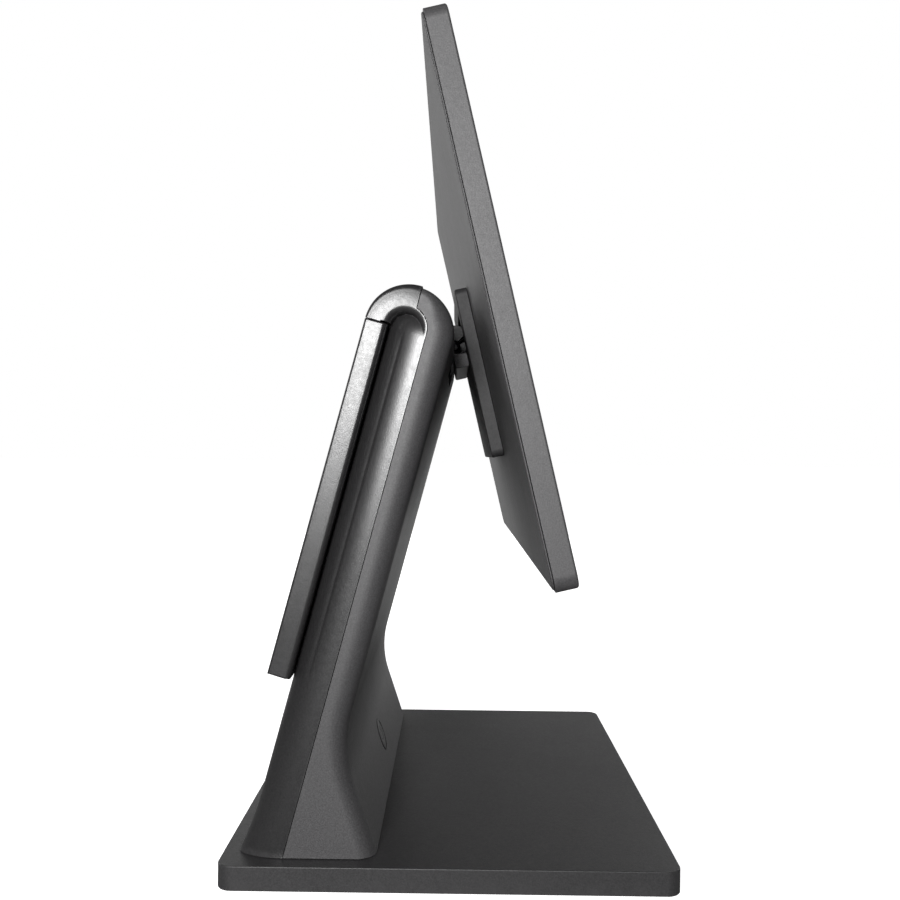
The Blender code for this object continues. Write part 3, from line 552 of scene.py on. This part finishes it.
def front_shell():
    round_steps = 10
    flat_steps = 5
    seam = seam_line()
    middle = [-90 * MM, -WINDOW_REACH, -15 * MM, 15 * MM, WINDOW_REACH, 90 * MM]
    lines = {}
    rows = []
    outer = front_line(0)
    for i, edge in enumerate(seam):
        full = TOP_ROUND + (FRONT_ROUND - TOP_ROUND) * smooth(i, 0, 18)
        side = []
        for step in range(round_steps + 1):
            angle = math.pi / 2 * step / round_steps
            inset = full * (1 - math.cos(angle))
            line = lines.setdefault(inset, front_line(inset))
            side.append((HALF - full * (1 - math.sin(angle)), *line[i]))
        last = line[i]
        side += [(HALF, *last.lerp(edge, step / flat_steps)) for step in range(1, flat_steps + 1)]
        rows.append(both_sides(side, middle))
    side_columns = round_steps + 1 + flat_steps
    window = range(side_columns + 1, side_columns + 4)

    def keep(row, column):
        inside = all(WINDOW_BOTTOM - MM < outer[r].y < WINDOW_TOP for r in (row, row + 1))
        return not (inside and column in window and outer[row + 1].x < 0)

    shape = sheet(rows, keep)
    rod = turned([(0, -8 * MM), (BUTTON_HOLE, -8 * MM), (BUTTON_HOLE, 8 * MM), (0, 8 * MM)])
    hole = helper("button_hole", rod, BUTTON)
    piece(
        "front_shell", shape, "stand", "shell", ["column_front_shell"], COLUMN,
        inside=(0, 0, -80 * MM), bevel=SEAM_EDGE, thick=SHELL, cutters=[hole],
    )
    bpy.data.objects.remove(hole)


# power button frame: y into the foot, origin where its axis meets the foot's face
BUTTON_RADIUS = 9 * MM
BUTTON_HOLE = BUTTON_RADIUS + GAP
BUTTON_Z = 34 * MM
button_y = FLARE_TOE_Y + (BUTTON_Z - BASE_TOP) * math.tan(FLARE)
BUTTON = Matrix.Translation((0, button_y, BUTTON_Z)) @ Matrix.Rotation(-FLARE, 4, "X")

# side of the rear shell: how deep it lies below the column's widest plane
BODY_START = -9.5 * MM  # where the body begins to turn towards its rear wall
BODY_DEPTH = 11 * MM
WALL_RADIUS = 7.0 * MM  # end wall of the pocket
RIM_ROUND = 3.5 * MM
SCOOP_START = -3 * MM  # the pocket sinks from here to its end wall, ever steeper
SCOOP_SPAN = 40 * MM
STEP_T = 1.9 * MM  # fine line along the side: a small step down, and a ramp back up
STEP_DEPTH = 0.3 * MM
RAMP_T = 4.6 * MM
RIDGE_END = -176 * MM
BAND_CROWN = 0.5 * MM  # how much lower the band's outer part lies


def side_depth(t, h):
    """Depth of the rear shell's side inside the band that goes over the top."""
    across = min(1.0, max(0.0, (t - BODY_START) / (REAR_WALL - BODY_START)))
    body = BODY_DEPTH * (1 - math.sqrt(1 - across * across))
    lined = smooth(-h, 1 * MM, 8 * MM) * smooth(h, RIDGE_END, RIDGE_END + 25 * MM)
    step = smooth(t, STEP_T - 0.25 * MM, STEP_T + 0.15 * MM)
    body += lined * STEP_DEPTH * step * (1 - smooth(t, STEP_T, RAMP_T))
    body += max(0.0, h - SCOOP_START) ** 2 / SCOOP_SPAN
    away = math.hypot(t - POCKET, max(h, 0.0))
    into = min(WALL_RADIUS + RIM_ROUND - away, RIM_ROUND)
    if t > POCKET and h <= 0:
        return body
    if into <= 0:
        return 0.0
    rim = RIM_ROUND - math.sqrt(max(RIM_ROUND * RIM_ROUND - into * into, 0.0))
    rim += max(0.0, WALL_RADIUS - away) * 6
    return min(rim, body)


def rear_shell():
    wall_reach = REAR_WALL - POCKET
    seam_reach = SEAM_RADIUS - GAP
    fine = 30
    coarse = 8
    reaches = [wall_reach * math.sin(math.pi / 2 * i / fine) for i in range(fine + 1)]
    reaches += [wall_reach + (seam_reach - wall_reach) * i / coarse for i in range(1, coarse + 1)]
    band_steps = 34
    rest_steps = 16
    band_end = math.acos((SEAM_TOP + GAP - POCKET) / seam_reach)
    angles = [band_end * i / band_steps for i in range(band_steps + 1)]
    angles += [band_end + (math.pi - band_end) * i / rest_steps for i in range(1, rest_steps + 1)]

    shape = bmesh.new()

    def vert(side, t, h, depth):
        return shape.verts.new((side * (HALF - depth), t, h))

    def quads(first, second):
        for i in range(len(first) - 1):
            corners = list(dict.fromkeys((first[i], first[i + 1], second[i + 1], second[i])))
            if len(corners) > 2:
                shape.faces.new(corners)

    edges = {}
    for side in (-1, 1):
        # round end of the pocket, from its middle outwards
        middle = vert(side, POCKET, 0, side_depth(POCKET, 0))
        rings = [[middle] * len(angles)]
        for reach in reaches[1:]:
            ring = []
            for angle in angles:
                t, h = POCKET + reach * math.cos(angle), reach * math.sin(angle)
                ring.append(vert(side, t, h, side_depth(t, h)))
            rings.append(ring)
        for first, second in zip(rings, rings[1:]):
            quads(first, second)

        # band over the top: its outer edge is tight at the rear and full at the front
        outer_end = math.acos((SEAM_TOP + GAP) / RADIUS)
        round_steps = 8
        flat_steps = 7
        band = []
        for i, angle in enumerate(angles[: band_steps + 1]):
            share = i / band_steps
            outward_way = Vector((math.cos(outer_end * share), math.sin(outer_end * share)))
            rounding = REAR_ROUND + (TOP_ROUND - REAR_ROUND) * share
            row = []
            for step in range(round_steps + 1):
                turn = math.pi / 2 * step / round_steps
                t, h = outward_way * (RADIUS - rounding * (1 - math.cos(turn)))
                row.append(vert(side, t, h, BAND_CROWN + rounding * (1 - math.sin(turn))))
            start = outward_way * (RADIUS - rounding)
            end = Vector((POCKET + seam_reach * math.cos(angle), seam_reach * math.sin(angle)))
            for step in range(1, flat_steps):
                part = step / flat_steps
                t, h = start.lerp(end, part)
                row.append(vert(side, t, h, BAND_CROWN * (1 - part) ** 2))
            row.append(rings[-1][i])
            band.append(row)
        for first, second in zip(band, band[1:]):
            quads(first, second)
        edges[side] = [row[0] for row in band]

        # straight side, from the seam to the rear wall
        columns = [ring[-1] for ring in reversed(rings[1:])] + [middle]
        columns += [ring[0] for ring in rings[1 : fine + 1]]
        places = [vertex.co.y for vertex in columns]
        above = columns
        wall = [above[-1]]
        for t_wall, h_wall, h_seam in side_rows():
            row = []
            for place in places:
                share = (place - places[0]) / (REAR_WALL - places[0])
                t = places[0] + (t_wall - places[0]) * share
                h = h_seam + (h_wall - h_seam) * share
                row.append(vert(side, t, h, side_depth(place, h)))
            quads(above, row)
            above = row
            wall.append(row[-1])
        edges[side, "wall"] = wall

    quads_across(shape, edges[-1], edges[1])
    quads_across(shape, edges[-1, "wall"], edges[1, "wall"])
    window_low, window_high = extent("port_panel", COLUMN)
    window = lofted(
        (window_low.x - GAP, window_low.z - GAP), (window_high.x + GAP, window_high.z + GAP), 3 * MM,
        [(0, 2 * MM), (0, 20 * MM)],
    )
    hole = helper("port_hole", window, COLUMN)
    piece(
        "rear_shell", shape, "stand", "shell_dark", ["column_rear_shell"], COLUMN,
        inside=(0, 0, -80 * MM), bevel=SEAM_EDGE, thick=SHELL, cutters=[hole],
    )
    bpy.data.objects.remove(hole)


def side_rows():
    """(rear wall t, its h, the seam's h) for each row of the straight side, down to the base."""
    straight_h = (FOOT_PLANE + REAR_FLARE_HEIGHT - in_row(REAR_WALL, 0).y) / math.cos(LEAN)
    radius = REAR_FLARE_HEIGHT / (math.sin(LEAN + REAR_TURN) - math.sin(LEAN))
    heights = [-1 * MM * i for i in range(1, 13)]
    step = 3 * MM
    while heights[-1] - step > straight_h:
        heights.append(heights[-1] - step)
    rows = [(REAR_WALL, h, h) for h in heights]
    centre = Vector((REAR_WALL + radius, straight_h))
    flare = curve(centre, radius, math.pi, math.pi + REAR_TURN, 12)
    seam_foot = foot_height(SEAM + GAP)
    for i, place in enumerate(flare):
        rows.append((place.x, place.y, straight_h + (seam_foot - straight_h) * i / 12))
    return rows


def quads_across(shape, left, right):
    """Join two edges across the width with a few spans between them."""
    spans = 6
    rows = []
    for a, b in zip(left, right):
        between = [shape.verts.new(a.co.lerp(b.co, i / spans)) for i in range(1, spans)]
        rows.append([a, *between, b])
    for first, second in zip(rows, rows[1:]):
        for i in range(spans):
            shape.faces.new((first[i], first[i + 1], second[i + 1], second[i]))


# ---------------------------------------------------------------- customer display

def customer_display():
    low, high = extent("customer_housing", COLUMN)
    glass_low, glass_high = extent("customer_glass", COLUMN)
    floor = low.y + 2.0 * MM
    bezel = glass_low.x - low.x - GAP
    crown = 0.3 * MM
    inner = list(reversed(quarter(low.y, -1, 3.0 * MM, 2.4 * MM, steps=9)))
    rim = [(crown + inset, level) for inset, level in quarter(high.y, 1, 1.2 * MM)]
    side_levels = [inner[-1][1] + (rim[0][1] - inner[-1][1]) * i / 6 for i in range(1, 6)]
    span = rim[0][1] - inner[-1][1]
    side = [(crown * ((level - inner[-1][1]) / span) ** 2, level) for level in side_levels]
    profile = inner + side + rim + [(bezel, high.y), (bezel, floor)]
    ends = (0.2 * MM, 0.2 * MM)
    shape = lofted((low.x, low.z), (high.x, high.z), 1 * MM, profile, "Y", steps=8, ends=ends)
    inside = (0, (low.y + floor) / 2, (low.z + high.z) / 2)
    piece("customer_case", shape, "stand", "shell_dark", ["customer_housing"], COLUMN, inside, bevel=0.1 * MM)

    corner = 1.2 * MM
    profile = [(0, glass_low.y)] + quarter(glass_high.y, 1, 0.2 * MM, steps=3)
    shape = lofted((glass_low.x, glass_low.z), (glass_high.x, glass_high.z), corner, profile, "Y", steps=6)
    inside = (0, (glass_low.y + glass_high.y) / 2, (glass_low.z + glass_high.z) / 2)
    glass = piece(
        "customer_screen", shape, "stand", "screen_glass", ["customer_glass"], COLUMN, inside
    )
    mark_display(glass, COLUMN, glass_low, glass_high, 9 * MM, glass_high.y)


def mark_display(glass, place, low, high, border, level):
    """Give the glass a picture area, a little lighter than its border, cut into its front face."""
    shape = bmesh.new()
    shape.from_mesh(glass.data)
    to_place = place.inverted()
    bmesh.ops.transform(shape, matrix=to_place, verts=shape.verts)
    for axis, sign, bound in ((0, -1, low), (0, 1, high), (2, -1, low), (2, 1, high)):
        point = Vector((0, level, 0))
        point[axis] = bound[axis] - sign * border
        normal = Vector((0, 0, 0))
        normal[axis] = 1
        everything = shape.verts[:] + shape.edges[:] + shape.faces[:]
        bmesh.ops.bisect_plane(shape, geom=everything, plane_co=point, plane_no=normal)
    for face in shape.faces:
        middle = face.calc_center_median()
        across = low.x + border < middle.x < high.x - border
        upright = low.z + border < middle.z < high.z - border
        if across and upright and abs(middle.y - level) < 0.05 * MM:
            face.material_index = 1
    bmesh.ops.transform(shape, matrix=place, verts=shape.verts)
    shape.to_mesh(glass.data)
    shape.free()
    glass.data.materials.append(SCREEN_AREA)


# ---------------------------------------------------------------- main display

TOP_MARGIN = 0.05 * MM  # keeps the frame's rounded top edge inside the CAD model's box


def main_display():
    low, high = extent("display_frame", DISPLAY)
    high.z -= TOP_MARGIN
    glass_low, glass_high = extent("touch_glass", DISPLAY)
    corner = 7 * MM
    rim = glass_low.x - low.x - GAP
    ledge = 5 * MM
    ledge_front = glass_high.y + GAP
    rear = quarter(high.y, 1, 0.3 * MM, steps=4)
    front = quarter(low.y, -1, 1.0 * MM, steps=7)
    profile = [(rim + ledge, high.y)] + list(reversed(rear)) + front
    profile += [(rim - 0.15 * MM, low.y), (rim, low.y + 0.15 * MM)]
    profile += [(rim, ledge_front), (rim + ledge, ledge_front)]
    shape = lofted((low.x, low.z), (high.x, high.z), corner, profile, "Y", steps=14, closed=True)
    inside = (0, (low.y + high.y) / 2, (low.z + high.z) / 2)
    piece("screen_frame", shape, "display", "shell", ["display_frame"], DISPLAY, inside)

    profile = [(0, glass_high.y)] + list(quarter(glass_low.y, -1, 0.25 * MM, steps=3))
    flat_low, flat_high = (glass_low.x, glass_low.z), (glass_high.x, glass_high.z)
    shape = lofted(flat_low, flat_high, corner - rim - GAP, profile, "Y", steps=12)
    inside = (0, (glass_low.y + glass_high.y) / 2, (glass_low.z + glass_high.z) / 2)
    glass = piece("touch_screen", shape, "display", "screen_glass", ["touch_glass"], DISPLAY, inside)
    mark_display(glass, DISPLAY, glass_low, glass_high, 11 * MM, glass_low.y)

    low, high = extent("display_back_cover", DISPLAY)
    profile = [(0, low.y)] + quarter(high.y, 1, 0.9 * MM, 0.65 * MM, steps=5)
    shape = lofted((low.x, low.z), (high.x, high.z), corner - 1.2 * MM, profile, "Y", steps=12)
    inside = (0, (low.y + high.y) / 2, (low.z + high.z) / 2)
    piece("screen_back", shape, "display", "shell", ["display_back_cover"], DISPLAY, inside)


def mount_cover():
    low, high = extent("vesa_cover", DISPLAY)
    wall = 1.8 * MM
    floor = high.y - 1.6 * MM
    profile = [(wall, floor), (wall, low.y), (0, low.y)] + quarter(high.y, 1, 0.8 * MM)
    shape = lofted((low.x, low.z), (high.x, high.z), 4 * MM, profile, "Y", steps=10)
    opening = lofted((-41 * MM, -10 * MM), (41 * MM, 10 * MM), 1 * MM, [(0, -8 * MM), (0, 0)], "Y", steps=4)
    hole = helper("mount_opening", opening, DISPLAY)
    inside = (0, floor, low.z + 5 * MM)
    piece(
        "mount_box", shape, "display", "shell", ["vesa_cover"], DISPLAY, inside,
        bevel=0.12 * MM, cutters=[hole], look=MOUNT,
    )
    bpy.data.objects.remove(hole)

    low, high = extent("hinge_neck_cover", DISPLAY)
    ends = 0.5 * MM
    profile = list(reversed(quarter(low.x, -1, ends, steps=4))) + quarter(high.x, 1, ends, steps=4)
    shape = lofted((low.y, low.z), (high.y, high.z), 1.2 * MM, profile, "X", steps=8)
    inside = (low + high) / 2
    # The hinge bar takes the lighter graphite: painted light where the column shades it.
    piece("hinge_bar", shape, "display", "shell", ["hinge_neck_cover"], DISPLAY, inside, look=NECK_PAINTED_LIGHT)


# ---------------------------------------------------------------- power button

def power_button():
    low, high = extent("power_button", BUTTON)
    lip = high.x
    cap = list(reversed(quarter(low.y, -1, 0.5 * MM, steps=5)))
    dish = 0.25 * MM
    profile = [(0, low.y + dish), (BUTTON_RADIUS * 0.5, low.y + dish * 0.75)]
    profile += [(BUTTON_RADIUS * 0.8, low.y + dish * 0.25)]
    profile += [(BUTTON_RADIUS - inset, level) for inset, level in reversed(cap)]
    profile += [(BUTTON_RADIUS, 3.0 * MM), (lip, 3.0 * MM), (lip, high.y), (0, high.y)]
    shape = turned(profile)
    middle = (0, (low.y + high.y) / 2, 0)
    groove = power_symbol(low.y)
    hole = helper("symbol_groove", groove, BUTTON)
    piece(
        "power_key", shape, "power_button", "shell", ["power_button"], BUTTON, middle,
        bevel=0.06 * MM, cutters=[hole],
    )
    bpy.data.objects.remove(hole)


def power_symbol(face):
    """Engraved ring with a gap at the top, and a stroke in the gap."""
    shape = bmesh.new()
    inner, outer = 2.9 * MM, 3.5 * MM
    top, bottom = face - MM, face + 0.4 * MM
    start, end = math.radians(125), math.radians(415)
    steps = 40
    ring = []
    for i in range(steps + 1):
        angle = start + (end - start) * i / steps
        across, up = math.cos(angle), math.sin(angle)
        corners = ((inner, top), (outer, top), (outer, bottom), (inner, bottom))
        ring.append([shape.verts.new((radius * across, y, radius * up)) for radius, y in corners])
    for first, second in zip(ring, ring[1:]):
        for i in range(4):
            j = (i + 1) % 4
            shape.faces.new((first[i], first[j], second[j], second[i]))
    shape.faces.new(ring[0])
    shape.faces.new(ring[-1])
    half = 0.3 * MM
    stroke = bmesh.ops.create_cube(shape, size=1)["verts"]
    size = Matrix.Diagonal((2 * half, bottom - top, 2.6 * MM, 1))
    bmesh.ops.transform(shape, matrix=size, verts=stroke)
    bmesh.ops.translate(shape, vec=(0, (top + bottom) / 2, 3.4 * MM), verts=stroke)
    return shape


# ---------------------------------------------------------------- carried-over parts of the model

def dress_frame():
    """Materials, welded and rounded edges for the CAD parts that stay as they are."""
    slots = {part["node"]: part["material_slot"] for part in frame["record"]["subparts"]}
    for name, thing in frame["nodes"].items():
        thing.data.materials.clear()
        thing.data.materials.append(LOOKS[slots[name]])
        weld = thing.modifiers.new("weld", "WELD")
        weld.merge_threshold = 0.00001
        soften(thing, 0.18 * MM, 2)
        weighted = thing.modifiers.new("normals", "WEIGHTED_NORMAL")
        weighted.keep_sharp = True
        thing.data.shade_smooth()
        thing.data.set_sharp_from_angle(angle=math.radians(48))


# ---------------------------------------------------------------- floor, light, camera

ROOM_LIGHT = 0.09  # strength of the grey room around the object
FLOOR_GLOW = 0.95  # keeps the floor white to the camera
FLOOR_BOUNCE = 0.3  # how light the floor is as the object sees it
CAMERA_LENS = 37.99  # focal length in mm, on a 36 mm wide sensor
CAMERA_PLACE = Vector((-0.56805, -0.00049, 0.20184))
CAMERA_YAW = 0.281  # degrees to the left of +X
CAMERA_PITCH = 0.247  # degrees upwards
CAMERA_ROLL = -0.647  # degrees about the view direction


def floor():
    """Pale floor: white to the camera, with almost no shadow, and less bright as the object sees it."""
    made = Nodes("floor")
    grain = made.noise(220, 3, 0.5)
    shade = made.blend(made.spread(grain, 0.3, 0.7), grey(0.88), grey(0.9))
    made.set(Base_Color=shade, Roughness=made.spread(grain, 0.3, 0.7, 0.85, 0.95))
    made.set(Emission_Color=(1, 1, 1, 1), Emission_Strength=FLOOR_GLOW)
    dim = made.add("ShaderNodeBsdfDiffuse", {"Color": grey(FLOOR_BOUNCE)})
    seen = made.add("ShaderNodeLightPath").outputs["Is Camera Ray"]
    mix = made.add("ShaderNodeMixShader", {0: seen, 1: dim.outputs[0], 2: made.shader.outputs[0]})
    made.feed(made.tree.nodes["Material Output"].inputs["Surface"], mix.outputs[0])
    mesh = bpy.data.meshes.new("floor")
    shape = bmesh.new()
    bmesh.ops.create_grid(shape, x_segments=4, y_segments=4, size=20)
    shape.to_mesh(mesh)
    shape.free()
    ground = bpy.data.objects.new("floor", mesh)
    bpy.context.scene.collection.objects.link(ground)
    mesh.materials.append(made.material)


def softbox(name, place, aim, width, height, power):
    """Area light at a place, turned towards a point."""
    lamp = bpy.data.lights.new(name, "AREA")
    lamp.shape = "RECTANGLE"
    lamp.size = width
    lamp.size_y = height
    lamp.energy = power
    thing = bpy.data.objects.new(name, lamp)
    bpy.context.scene.collection.objects.link(thing)
    thing.visible_camera = False
    thing.location = place
    thing.rotation_euler = (Vector(aim) - Vector(place)).to_track_quat("-Z", "Y").to_euler()


def surroundings():
    """White for the camera, soft grey for everything the object sees."""
    world = bpy.data.worlds.new("studio")
    bpy.context.scene.world = world
    world.use_nodes = True
    tree = world.node_tree
    tree.nodes.clear()
    path = tree.nodes.new("ShaderNodeLightPath")
    room = tree.nodes.new("ShaderNodeBackground")
    room.inputs["Strength"].default_value = ROOM_LIGHT
    white = tree.nodes.new("ShaderNodeBackground")
    white.inputs["Color"].default_value = (1, 1, 1, 1)
    mix = tree.nodes.new("ShaderNodeMixShader")
    out = tree.nodes.new("ShaderNodeOutputWorld")
    tree.links.new(path.outputs["Is Camera Ray"], mix.inputs[0])
    tree.links.new(room.outputs[0], mix.inputs[1])
    tree.links.new(white.outputs[0], mix.inputs[2])
    tree.links.new(mix.outputs[0], out.inputs[0])


def turned_about(vectors, axis, angle):
    return [Matrix.Rotation(math.radians(angle), 3, axis) @ vector for vector in vectors]


def camera():
    """Looks along +X at the side of the terminal, from just above the middle of its height."""
    lens = bpy.data.cameras.new("camera")
    lens.lens = CAMERA_LENS
    lens.sensor_width = 36
    lens.clip_start = 0.01
    thing = bpy.data.objects.new("camera", lens)
    bpy.context.scene.collection.objects.link(thing)
    ahead, right, up = Vector((1, 0, 0)), Vector((0, -1, 0)), Vector((0, 0, 1))
    ahead, right, up = turned_about((ahead, right, up), Vector((0, 0, 1)), CAMERA_YAW)
    ahead, right, up = turned_about((ahead, right, up), right, CAMERA_PITCH)
    ahead, right, up = turned_about((ahead, right, up), ahead, CAMERA_ROLL)
    turn = Matrix((right, up, -ahead)).transposed().to_4x4()
    thing.matrix_world = Matrix.Translation(CAMERA_PLACE) @ turn
    bpy.context.scene.camera = thing


base_shell()
feet()
front_shell()
rear_shell()
customer_display()
main_display()
mount_cover()
power_button()
dress_frame()
floor()
surroundings()
softbox("key", (-1.3, 0.24, 0.47), (0, 0.02, 0.25), 0.34, 0.34, 24.8)
softbox("far_panel", (1.7, 0.6, 0.55), (0, 0.1, 0.2), 0.9, 1.3, 3.6)
softbox("low_panel", (1.7, -0.6, 0.2), (0, 0, 0.1), 1.1, 0.36, 1.5)
softbox("floor_panel", (1.15, 0.1, 0.01), (1.15, 0.1, 1), 1.6, 1.6, 5)
softbox("fill", (1.6, -1.3, 1.0), (0, 0, 0.15), 1.2, 1.2, 9)
softbox("rear_panel", (1.1, 2.0, 1.0), (0, 0, 0.2), 1.3, 1.3, 16)
camera()
bpy.context.scene.view_settings.view_transform = "Standard"
